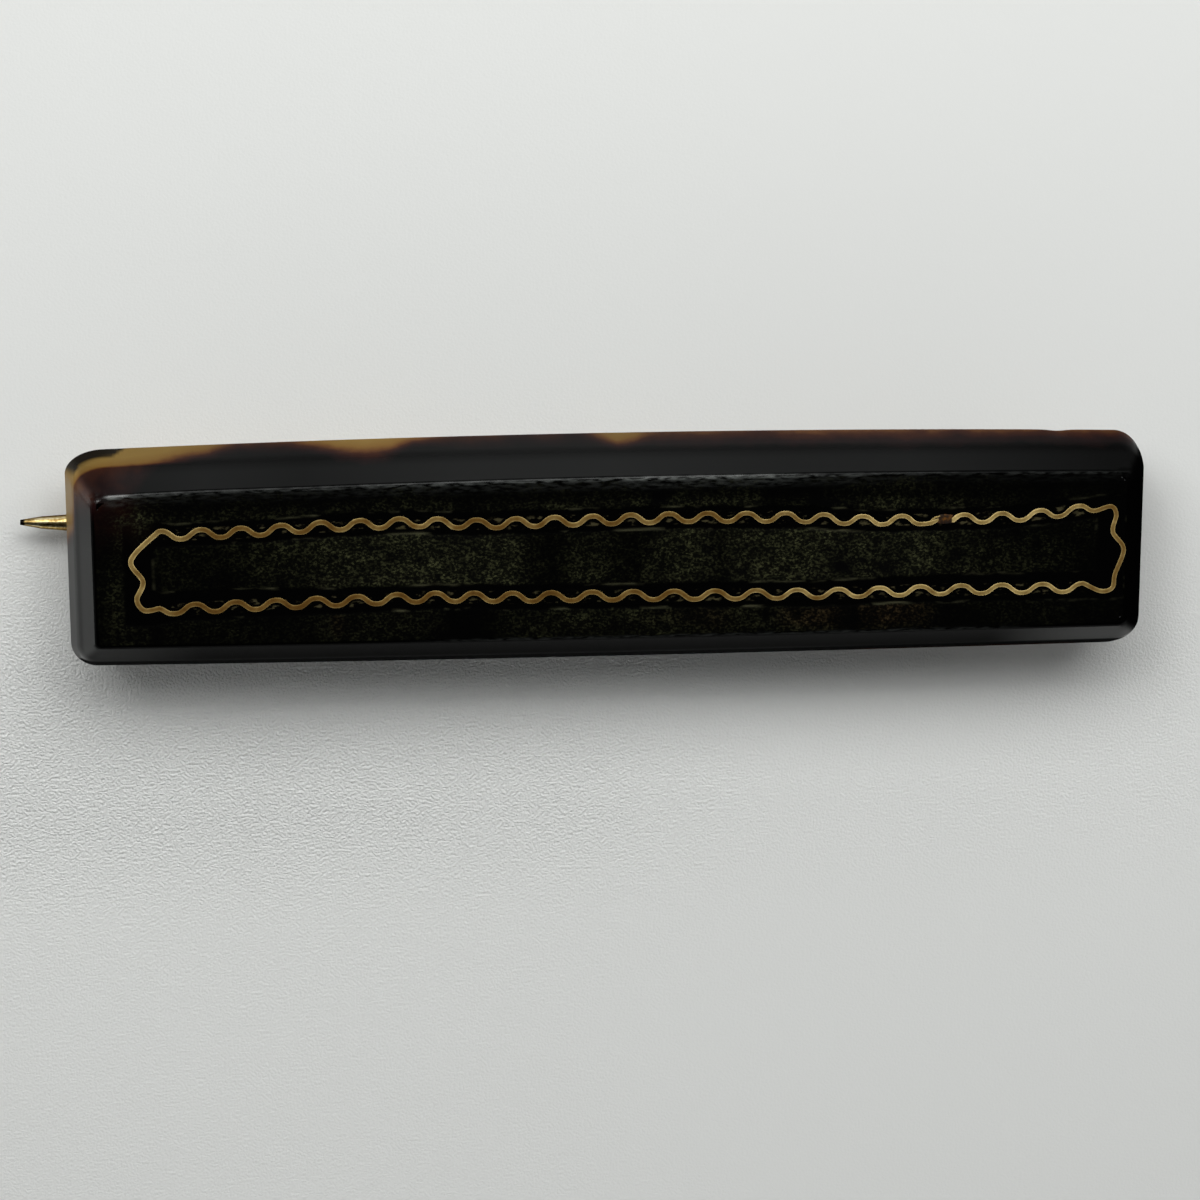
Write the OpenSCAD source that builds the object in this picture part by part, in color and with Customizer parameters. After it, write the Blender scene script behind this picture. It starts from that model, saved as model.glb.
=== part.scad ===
// Bar brooch of dark tortoiseshell with a crimped gold wire let into its face, in millimetres.
// X runs along the bar with the pin's point at -X, Y across it, Z up. The face is up and the
// brooch stands at z = 0 on its hinge knuckles and on the hook of its catch. The far side is +Y.

/* [Shell bar] */
// Length of the bar at its back
bar_l = 60; // [60:0.5:62]
// Width of the bar at its back, at mid length
bar_w = 13; // [12.6:0.1:14]
// Thickness of the bar
bar_t = 3; // [2.8:0.1:3.4]
// How far the upper bevel runs in, on the long sides
bevel_run = 1.3; // [1.1:0.05:1.4]
// How far the upper bevel drops
bevel_drop = 1.4; // [1.2:0.05:1.6]
// How far the lower wall leans in, on the long sides
wall_run = 0.65; // [0.5:0.05:0.7]
// Bevel and wall together at the pin's end, as seen from above
pin_end_run = 1.6; // [1.2:0.1:1.8]
// Bevel and wall together at the hinge end, as seen from above
hinge_end_run = 1.3; // [1.1:0.1:1.6]
// How far the far long side bows out between its ends
far_bow = 0.45; // [0.2:0.05:0.6]
// How far the near long side bows out between its ends
near_bow = 0.15; // [0.1:0.05:0.3]
// Radius of the worn corners at the pin's end, seen from above
pin_corner_r = 1.6; // [1.4:0.1:2.2]
// Radius of the worn corners at the hinge end, seen from above
hinge_corner_r = 2; // [1.4:0.1:2.2]

/* [Gold wire] */
// Width of the wire at the face
wire_w = 0.28; // [0.25:0.01:0.36]
// Depth of the wire in the shell
wire_t = 0.15; // [0.14:0.01:0.25]
// Height of the wire's crimped waves from its middle line
wave_h = 0.24; // [0.2:0.01:0.26]
// Clearance between the wire and its groove
groove_gap = 0.02; // [0.01:0.005:0.03]

/* [Pin and hinge] */
// Radius of the pin's stem
stem_r = 0.5; // [0.45:0.05:0.55]
// Radius of the pin's blunt tip
point_r = 0.14; // [0.1:0.01:0.2]
// Length of the tapered point
point_l = 3; // [2.5:0.1:4]
// Radius of the stem where the point's taper begins
neck_r = 0.49; // [0.44:0.01:0.49]
// How far the pin's point stands out past the bar
point_reach = 2.6; // [2.2:0.1:3]
// Distance of the hinge's axis from the middle of the bar
hinge_x = 24; // [23:0.5:25]
// How far the point lies to the far side of the hinge
point_side = 1.53; // [1.4:0.01:1.8]
// Outer radius of the fixed knuckles
knuckle_r = 1.2; // [1.1:0.05:1.3]
// Length of each fixed knuckle
knuckle_l = 1.5; // [1.3:0.1:1.8]
// Length of the pin's own knuckle
eye_l = 1.3; // [1.3:0.1:1.7]
// Radius of the hinge's pivot wire
pivot_r = 0.4; // [0.35:0.05:0.45]

/* [Catch] */
// Distance of the catch from the middle of the bar
catch_x = 25; // [24:0.5:26]
// Width of the catch's strip along the bar
catch_w = 2.6; // [2:0.2:3]
// Inner radius of the catch's hook
hook_r = 0.7; // [0.65:0.05:0.75]
// Angle round the pin that the hook covers
hook_turn = 250; // [240:5:255]

/* [Hidden] */
$fn = 48;

seat_gap = 0.03;
leaf_t = 0.5;
leaf_l = 6;
leaf_w = 5.4;
axis_z = knuckle_r;
leaf_z = 2 * knuckle_r;
back_z = leaf_z + leaf_t + seat_gap;
top_z = back_z + bar_t;
half_l = bar_l / 2;
half_w = bar_w / 2;
wall_h = bar_t - bevel_drop;
wall_share = wall_run / (wall_run + bevel_run);
strokes = 6;
corner_bite = 0.07;
over = 2;

// Small chip in the back edge of the far side
chip_x = 25.1;
chip_r = 0.45;
chip_out = 0.3;

// Middle line of the far row of wire
X = 0;
Y = 1;
far_row = [[-25, 1.85], [-20, 1.95], [-16, 2.18], [-11, 2.3], [-7.3, 2.12], [-2, 2.2], [4, 2.26],
    [10, 2.14], [14, 1.87], [18, 1.83], [22, 1.88], [24, 2.02], [27, 2.3]];
// Middle line of the near row of wire
near_row = [[-25, -2.38], [-21, -2.25], [-15, -2.1], [-10, -1.98], [-5, -2.1], [0, -2.13],
    [6, -2.22], [12, -2.28], [18, -2.21], [23, -2.24], [27, -2.25]];
// Where the crests of the hand-crimped waves lie: x, with the count of waves up to there
far_waves = [[-24.7, 0], [-13.85, 5], [-5.3, 9], [3.12, 13], [17.12, 19.5], [18.3, 19.8]];
late_waves = [[17.39, 0], [27.99, 5]];
near_waves = [[-25.17, 0], [-11.89, 6], [-3.4, 10], [5.7, 14], [26.3, 23]];
wave_steps = 8;
turn_steps = 5;

// The wire is cut at these two places of the far row, and brown filler lies between them
wire_start = 18.93;
wire_end = 18.2;
// Bends of the wire at the hinge end and at the pin's end of its loop
hinge_bends = [[27.75, 2.38], [28.04, 1.9], [27.88, 0.92], [28.52, -0.08], [28.08, -1.5], [27.95, -2.3],
    [27.3, -2.48]];
pin_bends = [[-25.72, -2.38], [-26.12, -1.75], [-25.76, -0.75], [-26.37, 0.5]];

// Outline of the filled patch between the cut ends
patch = [[17.96, 1.66], [18.3, 1.59], [18.65, 1.6], [18.9, 1.63], [18.98, 1.85], [18.9, 2.08],
    [18.5, 2.13], [18.15, 2.11], [18, 1.98]];
patch_depth = 0.13;
patch_mid = [18.47, 1.86];
function shrunk(p, by) = [for (q = p) q + (patch_mid - q) / norm(patch_mid - q) * by];

// Points of a row from x0 to x1, about a fixed number to each wave
function row(x0, x1, middle, waves) =
    let (n = round(abs(lookup(x1, waves) - lookup(x0, waves)) * wave_steps))
    [for (i = [0:n]) let (x = x0 + (x1 - x0) * i / n)
        [x, lookup(x, middle) + wave_h * cos(360 * lookup(x, waves))]];

// A smooth curve through the bends of an end, which starts and ends on the rows' own points
function curve_at(a, b, c, d, t) =
    0.5 * ((2 * b) + (c - a) * t + (2 * a - 5 * b + 4 * c - d) * t * t + (3 * b - a - 3 * c + d) * t * t * t);
function curve(p) = [for (i = [1:len(p) - 3], s = [0:turn_steps - 1])
    if (i > 1 || s > 0) curve_at(p[i - 1], p[i], p[i + 1], p[i + 2], s / turn_steps)];

late_row = row(wire_start, 27, far_row, late_waves);
back_row = row(26.3, -24.9, near_row, near_waves);
early_row = row(-24.8, wire_end, far_row, far_waves);
last = len(late_row) - 1;
back_last = len(back_row) - 1;
route = concat(
    late_row,
    curve(concat([late_row[last - 1], late_row[last]], hinge_bends, [back_row[0], back_row[1]])),
    back_row,
    curve(concat([back_row[back_last - 1], back_row[back_last]], pin_bends, [early_row[0], early_row[1]])),
    early_row);
count = len(route);

// Half the wire's width: the first end is flared by the cutter and the other is frayed to a point
flare = 0.06;
flare_l = 0.35;
fray_l = 0.6;
fray_tip = 0.05;
function reach(i, j) = norm(route[i] - route[j]);
function half_wire(i) = i < 4 ? wire_w / 2 + flare * max(0, 1 - reach(i, 0) / flare_l)
    : i > count - 5 ? min(wire_w / 2, fray_tip + (wire_w / 2 - fray_tip) * reach(i, count - 1) / fray_l)
    : wire_w / 2;
function side(i) = let (d = route[min(i + 1, count - 1)] - route[max(i - 1, 0)]) [-d[Y], d[X]] / norm(d);

// The strip that the wire covers, grown by a clearance
module strip(grow) polygon(concat(
    [for (i = [0:count - 1]) route[i] + side(i) * (half_wire(i) + grow)],
    [for (i = [count - 1:-1:0]) route[i] - side(i) * (half_wire(i) + grow)]));

// How far out a long side lies at x, and its direction there
function side_y(x, bow) = half_w - bow * pow(x / half_l, 2);
function side_angle(x, bow) = -atan(2 * bow * x / (half_l * half_l));

// One long side's wall and bevel, bowed out in a few flat strokes, as a file leaves them
module long_side(bow) intersection_for (i = [0:strokes - 1]) {
    x = half_l * (2 * (i + 0.5) / strokes - 1);
    translate([x, side_y(x, bow), 0]) rotate([0, 0, side_angle(x, bow)]) rotate([90, 0, 90])
        linear_extrude(3 * bar_l, center = true)
            polygon([[-2 * bar_w, 0], [0, 0], [-wall_run, wall_h], [-wall_run - bevel_run, bar_t],
                [-2 * bar_w, bar_t]]);
}

// Both ends' walls and bevels, straight across the bar. The hinge end is worn round: going up, it
// has run in by the first of each pair of shares where it has reached the second.
hinge_end_wear = [[0.2, 0.6], [0.5, 0.85]];
module ends() translate([0, bar_w, 0]) rotate([90, 0, 0]) linear_extrude(2 * bar_w)
    polygon(concat(
        [[-half_l, 0], [half_l, 0]],
        [for (s = hinge_end_wear) [half_l - s[X] * hinge_end_run, s[Y] * bar_t]],
        [[half_l - hinge_end_run, bar_t], [-half_l + pin_end_run, bar_t]],
        [[-half_l + wall_share * pin_end_run, wall_h]]));

// What the wear took from one corner, seen from above
module corner_loss(r) difference() {
    square(r + over);
    circle(r, $fn = 96);
}

module worn_corners(bow, far) for (x = [-1, 1]) let (r = x < 0 ? pin_corner_r : hinge_corner_r)
    translate([x * (half_l - r + corner_bite), far * (half_w - bow - r + corner_bite), -over])
        mirror([x < 0 ? 1 : 0, 0, 0]) mirror([0, far < 0 ? 1 : 0, 0])
            linear_extrude(bar_t + 2 * over) corner_loss(r);

// Puts a piece, which is drawn about the middle of the bar, about the middle of the whole brooch
module placed() translate([point_reach / 2, 0, 0]) children();

module shell_bar() color("#221d19") placed() difference() {
    translate([0, 0, back_z]) difference() {
        intersection() {
            long_side(far_bow);
            mirror([0, 1, 0]) long_side(near_bow);
            ends();
        }
        worn_corners(far_bow, 1);
        worn_corners(near_bow, -1);
        translate([chip_x, side_y(chip_x, far_bow) + chip_out, 0]) sphere(chip_r);
    }
    translate([0, 0, top_z - wire_t - groove_gap]) linear_extrude(bar_t) strip(groove_gap);
    translate([0, 0, top_z - patch_depth - groove_gap]) linear_extrude(bar_t) polygon(patch);
}

module gold_wire() color("#c9994f") placed()
    translate([0, 0, top_z - wire_t]) linear_extrude(wire_t) strip(0);

module joint_filler() color("#7a3f1c") placed()
    translate([0, 0, top_z - patch_depth]) linear_extrude(patch_depth) difference() {
        polygon(shrunk(patch, groove_gap));
        strip(groove_gap);
    }

// The hinge: two fixed knuckles under a leaf, with the pin's eye between them
knuckle_gap = 0.05;
knuckle_y = eye_l / 2 + knuckle_gap + knuckle_l / 2;
web = 1.6;
pivot_fit = 0.01;
pivot_stub = 0.15;
pivot_l = 2 * (knuckle_y + knuckle_l / 2 + pivot_stub);
eye_fit = 0.04;
eye_r = knuckle_r - 0.35;

// A round bar on the hinge's axis, centred on y
module on_axis(y, l, r) translate([hinge_x, y - l / 2, axis_z]) rotate([-90, 0, 0]) cylinder(h = l, r = r);

module hinge_leaf() color("#a97f3f") placed() difference() {
    union() {
        translate([hinge_x - leaf_l / 2, -leaf_w / 2, leaf_z]) cube([leaf_l, leaf_w, leaf_t]);
        for (s = [-1, 1]) {
            on_axis(s * knuckle_y, knuckle_l, knuckle_r);
            translate([hinge_x - web / 2, s * knuckle_y - knuckle_l / 2, axis_z])
                cube([web, knuckle_l, knuckle_r + leaf_t / 2]);
        }
    }
    on_axis(0, 2 * leaf_w, pivot_r + pivot_fit);
}

module hinge_pivot() color("#8d6a35") placed() on_axis(0, pivot_l, pivot_r);

// The stem lies from the hinge to its point, which is a little to the far side
point_x = half_l + point_reach + hinge_x;
stem_l = norm([point_x, point_side]);
skew = atan2(point_side, -point_x);
// The solder between eye and stem thins out to the stem's own radius
shoulder_l = 1.6;
shoulder_r = 0.62;
// The stem keeps its full radius up to the catch, and narrows to the neck from there. The point
// is filed in two tapers, and the second and steeper one ends in the tip.
tip_l = 1.15;
tip_r = 0.34;
shank_l = hinge_x + catch_x - catch_w - shoulder_l;
neck_l = stem_l - point_l - shoulder_l - shank_l;

module pin_stem() color("#d0a050") placed() difference() {
    union() {
        on_axis(0, eye_l, eye_r);
        translate([hinge_x, 0, axis_z]) rotate([0, 0, skew]) rotate([0, 90, 0]) {
            cylinder(h = shoulder_l, r1 = shoulder_r, r2 = stem_r);
            translate([0, 0, shoulder_l]) {
                cylinder(h = shank_l, r = stem_r);
                translate([0, 0, shank_l]) {
                    cylinder(h = neck_l, r1 = stem_r, r2 = neck_r);
                    translate([0, 0, neck_l]) {
                        cylinder(h = point_l - tip_l, r1 = neck_r, r2 = tip_r);
                        translate([0, 0, point_l - tip_l]) cylinder(h = tip_l, r1 = tip_r, r2 = point_r);
                    }
                }
            }
        }
    }
    on_axis(0, 2 * eye_l, pivot_r + eye_fit);
}

// The catch: a strip bent into a hook that is open to the far side, under a leaf of its own
hook_t = knuckle_r - hook_r;
catch_y = (hinge_x + catch_x) * point_side / point_x;
catch_leaf_w = 5;
catch_leaf_l = 4.6;
catch_leaf_y = catch_y - 2.3;
top_turn = 90;

module catch() color("#a97f3f") placed() {
    translate([-catch_x - catch_leaf_l / 2, catch_leaf_y, leaf_z]) cube([catch_leaf_l, catch_leaf_w, leaf_t]);
    translate([-catch_x - catch_w / 2, catch_y, axis_z]) rotate([90, 0, 90]) {
        rotate([0, 0, top_turn]) rotate_extrude(angle = hook_turn, $fn = 96)
            translate([hook_r, 0]) square([hook_t, catch_w]);
        linear_extrude(catch_w) difference() {
            translate([-knuckle_r, 0]) square([knuckle_r, knuckle_r + leaf_t / 2]);
            circle(hook_r + hook_t / 2, $fn = 96);
        }
    }
}

shell_bar();
gold_wire();
joint_filler();
hinge_leaf();
hinge_pivot();
pin_stem();
catch();
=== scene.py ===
import math

import bmesh
import bpy
import numpy as np
from mathutils import Matrix, Vector
from mathutils.kdtree import KDTree


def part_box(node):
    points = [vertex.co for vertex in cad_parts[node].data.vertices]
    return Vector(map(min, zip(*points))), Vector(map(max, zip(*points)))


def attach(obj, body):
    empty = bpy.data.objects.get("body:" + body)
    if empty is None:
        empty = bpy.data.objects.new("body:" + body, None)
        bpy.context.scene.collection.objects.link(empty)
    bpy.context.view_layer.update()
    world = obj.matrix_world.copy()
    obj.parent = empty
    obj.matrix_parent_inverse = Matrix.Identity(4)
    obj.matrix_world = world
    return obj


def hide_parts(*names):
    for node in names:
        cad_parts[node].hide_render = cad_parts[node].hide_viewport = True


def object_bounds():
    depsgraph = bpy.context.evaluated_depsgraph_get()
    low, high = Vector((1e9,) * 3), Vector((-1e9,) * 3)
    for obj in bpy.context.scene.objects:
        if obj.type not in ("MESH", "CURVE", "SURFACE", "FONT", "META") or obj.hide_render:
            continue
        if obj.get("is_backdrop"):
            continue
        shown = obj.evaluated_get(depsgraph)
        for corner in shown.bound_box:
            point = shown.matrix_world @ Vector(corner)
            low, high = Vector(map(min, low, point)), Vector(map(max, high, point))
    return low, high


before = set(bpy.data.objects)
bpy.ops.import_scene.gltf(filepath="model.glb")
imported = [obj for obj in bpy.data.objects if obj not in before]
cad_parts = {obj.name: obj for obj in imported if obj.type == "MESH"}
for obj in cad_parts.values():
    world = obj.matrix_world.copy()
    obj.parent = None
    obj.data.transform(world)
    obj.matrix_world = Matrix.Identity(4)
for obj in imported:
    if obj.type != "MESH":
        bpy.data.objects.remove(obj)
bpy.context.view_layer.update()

# Camera
# The brooch lies face up and is looked at from above, from a little behind its far side, through a
# long lens from about 230 mm away. All lengths below are millimetres until a mesh is made.
MM = 0.001
bar_low, bar_high = (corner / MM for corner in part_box("shell_bar"))
mid_x = (bar_low.x + bar_high.x) / 2
top_z = bar_high.z
back_z = bar_low.z
camera_place = Vector((mid_x - 17.6, 60.7, top_z + 221.1))
camera_aim = Vector((mid_x - 0.69, -2.35, top_z))
camera_roll = math.radians(0.08)
camera_lens = 125.2

camera_data = bpy.data.cameras.new("camera")
camera_data.lens = camera_lens
camera_data.sensor_width = 36
camera_data.clip_start = 0.01
camera_data.clip_end = 10
camera = bpy.data.objects.new("camera", camera_data)
bpy.context.scene.collection.objects.link(camera)
back = (camera_place - camera_aim).normalized()
upright = Vector((math.sin(camera_roll), math.cos(camera_roll), 0))
across = upright.cross(back).normalized()
turned = Matrix((across, back.cross(across), back)).transposed().to_4x4()
camera.matrix_world = Matrix.Translation(camera_place * MM) @ turned
bpy.context.scene.camera = camera

# Table and daylight
# A sheet of pale satin board, lit through large soft windows on the far side and by bright low walls
# all round. The ceiling is dark, because the polished face mirrors it straight at the camera.


def colour(hexcode):
    """An sRGB hex colour as the linear values that a shader takes."""
    parts = [int(hexcode[i:i + 2], 16) / 255 for i in (1, 3, 5)]
    return tuple(p / 12.92 if p <= 0.04045 else ((p + 0.055) / 1.055) ** 2.4 for p in parts) + (1.0,)


def feed(tree, node, inputs):
    """Gives inputs of a node a value or a link each. A whole node links its first output in use."""
    for name, value in inputs.items():
        # Some nodes have several inputs of one name, and only one of them in use
        in_use = [socket for socket in node.inputs if socket.name == name and socket.enabled]
        into = in_use[0] if in_use else node.inputs[name]
        if isinstance(value, bpy.types.Node):
            value = next(socket for socket in value.outputs if socket.enabled)
        if isinstance(value, bpy.types.NodeSocket):
            tree.links.new(value, into)
        else:
            into.default_value = value


def add(tree, kind, ramp=None, inputs=None, **settings):
    """Adds a node of a kind with its settings, its inputs and the stops of its colour ramp."""
    node = tree.nodes.new(kind)
    for name, value in settings.items():
        setattr(node, name, value)
    feed(tree, node, inputs or {})
    if ramp:
        stops = node.color_ramp.elements
        while len(stops) < len(ramp):
            stops.new(0.5)
        for stop, (place, shade) in zip(stops, ramp):
            stop.position = place
            stop.color = shade
    return node


def material(name):
    """A new material with an empty tree but for its shader. Returns it, its tree and the shader."""
    made = bpy.data.materials.new(name)
    made.use_nodes = True
    tree = made.node_tree
    return made, tree, tree.nodes["Principled BSDF"]


def per_mm(size):
    """The scale that makes a texture's pattern this many millimetres across."""
    return 1 / (size * MM)


# Satin board gives the eye a pale grey with a fine embossed grain, and no clear reflection. The grain
# is rubbed nearly smooth but for the part in front of the bar, and most of all by the pin's end.
board_half = 1200
board_grain = 0.15
grain_depth = 0.23
board, board_tree, board_shader = material("satin_board")
board_spot = add(board_tree, "ShaderNodeTexCoord").outputs["Object"]
board_noise = add(board_tree, "ShaderNodeTexNoise", inputs={
    "Vector": board_spot, "Scale": per_mm(board_grain), "Detail": 3})
board_place = add(board_tree, "ShaderNodeSeparateXYZ", inputs={"Vector": board_spot})
grain = add(board_tree, "ShaderNodeMath", operation="MULTIPLY")
for n, (axis, low, high, stops) in enumerate((
        ("X", -30, 30, ((-18, 1.0), (0, 0.8), (12, 0.4))),
        ("Y", -30, 10, ((-30, 0.24), (-23, 0.36), (-17, 0.85), (-8, 0.85), (2, 0.16), (10, 0.07))))):
    reach = add(board_tree, "ShaderNodeMapRange", inputs={
        "Value": board_place.outputs[axis], "From Min": low * MM, "From Max": high * MM})
    rubbed_by = add(board_tree, "ShaderNodeValToRGB", inputs={"Fac": reach}, ramp=[
        ((at - low) / (high - low), (left, left, left, 1)) for at, left in stops])
    feed(board_tree, grain, {n: rubbed_by})
board_bump = add(board_tree, "ShaderNodeBump", inputs={
    "Height": board_noise, "Strength": grain, "Distance": grain_depth * MM})
feed(board_tree, board_shader, {
    "Base Color": colour("#e8e7e6"), "Roughness": 0.5, "Specular IOR Level": 0.3, "Normal": board_bump})

floor_data = bpy.data.meshes.new("floor")
floor_data.from_pydata([(x * board_half * MM, y * board_half * MM, 0)
                        for x, y in ((-1, -1), (1, -1), (1, 1), (-1, 1))], [], [(0, 1, 2, 3)])
floor_data.materials.append(board)
floor = bpy.data.objects.new("floor", floor_data)
bpy.context.scene.collection.objects.link(floor)
floor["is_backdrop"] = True


def window(name, place, width, height, power, shade):
    """A soft rectangular light, in millimetres and watts, that faces the brooch."""
    data = bpy.data.lights.new(name, "AREA")
    data.shape = "RECTANGLE"
    data.size = width * MM
    data.size_y = height * MM
    data.energy = power
    data.color = colour(shade)[:3]
    lamp = bpy.data.objects.new(name, data)
    lamp.location = Vector(place) * MM
    lamp.rotation_euler = (-Vector(place)).to_track_quat("-Z", "Y").to_euler()
    bpy.context.scene.collection.objects.link(lamp)


window("far_left_window", (-260, 330, 360), 260, 260, 1.1, "#fbfefc")
window("far_right_window", (260, 330, 360), 260, 260, 0.98, "#fbfefc")
window("roof_window", (0, 170, 150), 160, 80, 0.26, "#fbfefc")

wall_light = 1.3
world = bpy.data.worlds.new("room")
world.use_nodes = True
bpy.context.scene.world = world
room = world.node_tree
sight = add(room, "ShaderNodeTexCoord")
parts = add(room, "ShaderNodeSeparateXYZ", inputs={"Vector": sight.outputs["Generated"]})
wall = add(room, "ShaderNodeValToRGB", inputs={"Fac": parts.outputs["Z"]}, ramp=[
    (0.0, colour("#fcfffd")), (0.28, colour("#fcfffd")), (0.42, colour("#1c2022")),
    (0.7, colour("#0c0c0c"))])
feed(room, room.nodes["Background"], {"Color": wall, "Strength": wall_light})
bpy.context.scene.view_settings.view_transform = "Standard"

# Shell bar
# One slab of dark tortoiseshell, filed to a flat face with mitred bevels and steeper walls below
# them, then polished. Its worn corners are round, and it is near black but for amber at its edge.
half_l = (bar_high.x - bar_low.x) / 2
half_w = 6.5
bar_t = top_z - back_z
side_run = 1.95
wall_run = 0.65
wall_h = 1.6
pin_end_run = 1.6
hinge_end_run = 1.3
far_bow = 0.45
near_bow = 0.15
# Each corner's wear, by its end and side: along the bar, across it, and where the face begins
corner_wear = {(-1, 1): (2.1, 1.4, 1.1), (-1, -1): (1.5, 1.45, 0.3), (1, 1): (1.7, 2.2, 0.6),
               (1, -1): (1.8, 1.7, 0.6)}
# How far the hinge end's worn slope has run in at each rise
hinge_wear = [(0, 0), (0.9, 0.06), (1.8, 0.26), (2.4, 0.55), (2.75, 0.85), (2.93, 1.1), (3, 1.35)]
# How much further in than a true mitre the far edge of the face lies, along x
arris_shift = [(-30, 0.3), (-27.4, 0.26), (-25.5, 0.18), (-22.4, 0.13), (-17, 0.13), (-13.5, 0.09),
               (-6, 0.03), (0, 0), (15, -0.05), (27, -0.08)]
# A small dent in the back edge of the far side
dent_x = 25.1
dent_in = 0.08
dent_half = 0.6

# Middle lines of the wire's far and near rows, as x and y, and the bends at its two ends
far_row = [(-25, 1.85), (-20, 1.95), (-16, 2.18), (-11, 2.3), (-7.3, 2.12), (-2, 2.2), (4, 2.26),
           (10, 2.14), (14, 1.87), (18, 1.83), (22, 1.88), (24, 2.02), (25.9, 2.2), (27, 2.42)]
near_row = [(-25.2, -2.53), (-24.2, -2.36), (-21, -2.25), (-15, -2.1), (-10, -1.98), (-5, -2.1), (0, -2.13),
            (6, -2.22), (12, -2.28), (18, -2.21), (23, -2.24), (27, -2.25)]
hinge_bends = [(27.75, 2.38), (28.04, 1.9), (27.88, 0.92), (28.52, -0.08), (28.08, -1.5), (27.95, -2.3),
               (27.3, -2.48)]
pin_bends = [(-25.72, -2.38), (-26.12, -1.75), (-25.76, -0.75), (-26.37, 0.5)]
# Where the crests of the waves lie: x, with the count of waves up to there
far_waves = [(-24.7, 0), (-13.85, 5), (-5.3, 9), (3.12, 13), (17.12, 19.5), (18.3, 19.8)]
late_waves = [(17.39, 0), (27.99, 5)]
near_waves = [(-25.17, 0), (-11.89, 6), (-3.4, 10), (5.7, 14), (26.3, 23)]
wave_h = 0.24
wave_blunt = 0.065
wire_start = 18.93
wire_end = 18.2
wave_steps = 20
bend_steps = 10
# How far the wire's flared start runs straight along x, so that it ends in a square cut
square_cut = 0.1


def along(x, table):
    """Reads a table of x and value at x, straight between its rows."""
    return np.interp(x, [row[0] for row in table], [row[1] for row in table])


def crimped(x0, x1, middle, waves):
    """Points of a row of crimped wire from x0 to x1."""
    steps = round(abs(along(x1, waves) - along(x0, waves)) * wave_steps)
    x = np.linspace(x0, x1, steps + 1)
    turn = 2 * math.pi * along(x, waves)
    wave = (np.cos(turn) - wave_blunt * np.cos(3 * turn)) / (1 - wave_blunt)
    return np.stack([x, along(x, middle) + wave_h * wave], 1)


def bends(before, points, after):
    """A smooth curve through the bends at an end, between the rows' own last and first points."""
    p = np.vstack([before[-2:], points, after[:2]])
    t = np.linspace(0, 1, bend_steps, endpoint=False)[:, None]
    spans = []
    for a, b, c, d in zip(p, p[1:], p[2:], p[3:]):
        square, cube = 2 * a - 5 * b + 4 * c - d, 3 * b - a - 3 * c + d
        spans.append(0.5 * (2 * b + (c - a) * t + square * t ** 2 + cube * t ** 3))
    return np.vstack(spans)[1:]


late = crimped(wire_start, 27, far_row, late_waves)
late = np.vstack([late[0] - (square_cut, 0), late])
nearer = crimped(26.3, -24.9, near_row, near_waves)
early = crimped(-24.8, wire_end, far_row, far_waves)
route = np.vstack([late, bends(late, hinge_bends, nearer), nearer, bends(nearer, pin_bends, early), early])

cell_x = 0.15
cell_y = 0.08
face_run = 2.25
flat_hold = 0.04
longest_step = 0.3
cells_x = round(2 * half_l / cell_x)
cells_y = round(2 * (half_w - face_run) / cell_y)


def filleted(points, sizes, steps):
    """Rounds the inner corners of a profile of run and rise, each over its own size."""
    made = [points[0]]
    for a, b, c, size in zip(points, points[1:], points[2:], sizes):
        a, b, c = np.array(a), np.array(b), np.array(c)
        before = (a - b) / np.linalg.norm(a - b)
        after = (c - b) / np.linalg.norm(c - b)
        start, stop = b + before * size, b + after * size
        # A ring just beside each rounding keeps the flat beyond it flat to the eye
        made.append(start + before * flat_hold)
        made += [(1 - t) ** 2 * start + 2 * t * (1 - t) * b + t ** 2 * stop
                 for t in np.linspace(0, 1, steps)]
        made.append(stop + after * flat_hold)
    return [tuple(p) for p in made + [points[-1]]]


def stepped(points, longest):
    """Adds points to a profile so that no step on it is longer than the longest."""
    made = [points[0]]
    for a, b in zip(points, points[1:]):
        steps = math.ceil(math.dist(a, b) / longest)
        made += [tuple(np.array(a) + (np.array(b) - np.array(a)) * k / steps) for k in range(1, steps + 1)]
    return made


# The profile goes from the flat back, round its rim, up the wall and the slope and on to the face
back_rim = 0.8
edge_rounds = (0.22, 0.35, 0.16)
round_steps = 7
corners = [(back_rim, 0), (0, 0), (wall_run, wall_h), (side_run, bar_t), (face_run, bar_t)]
profile = stepped(filleted(corners, edge_rounds, round_steps), longest_step)
# The hinge end is worn from this rise up, and a hair tells the face from the slopes
worn_from = 0.3
hair = 0.001


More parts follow.
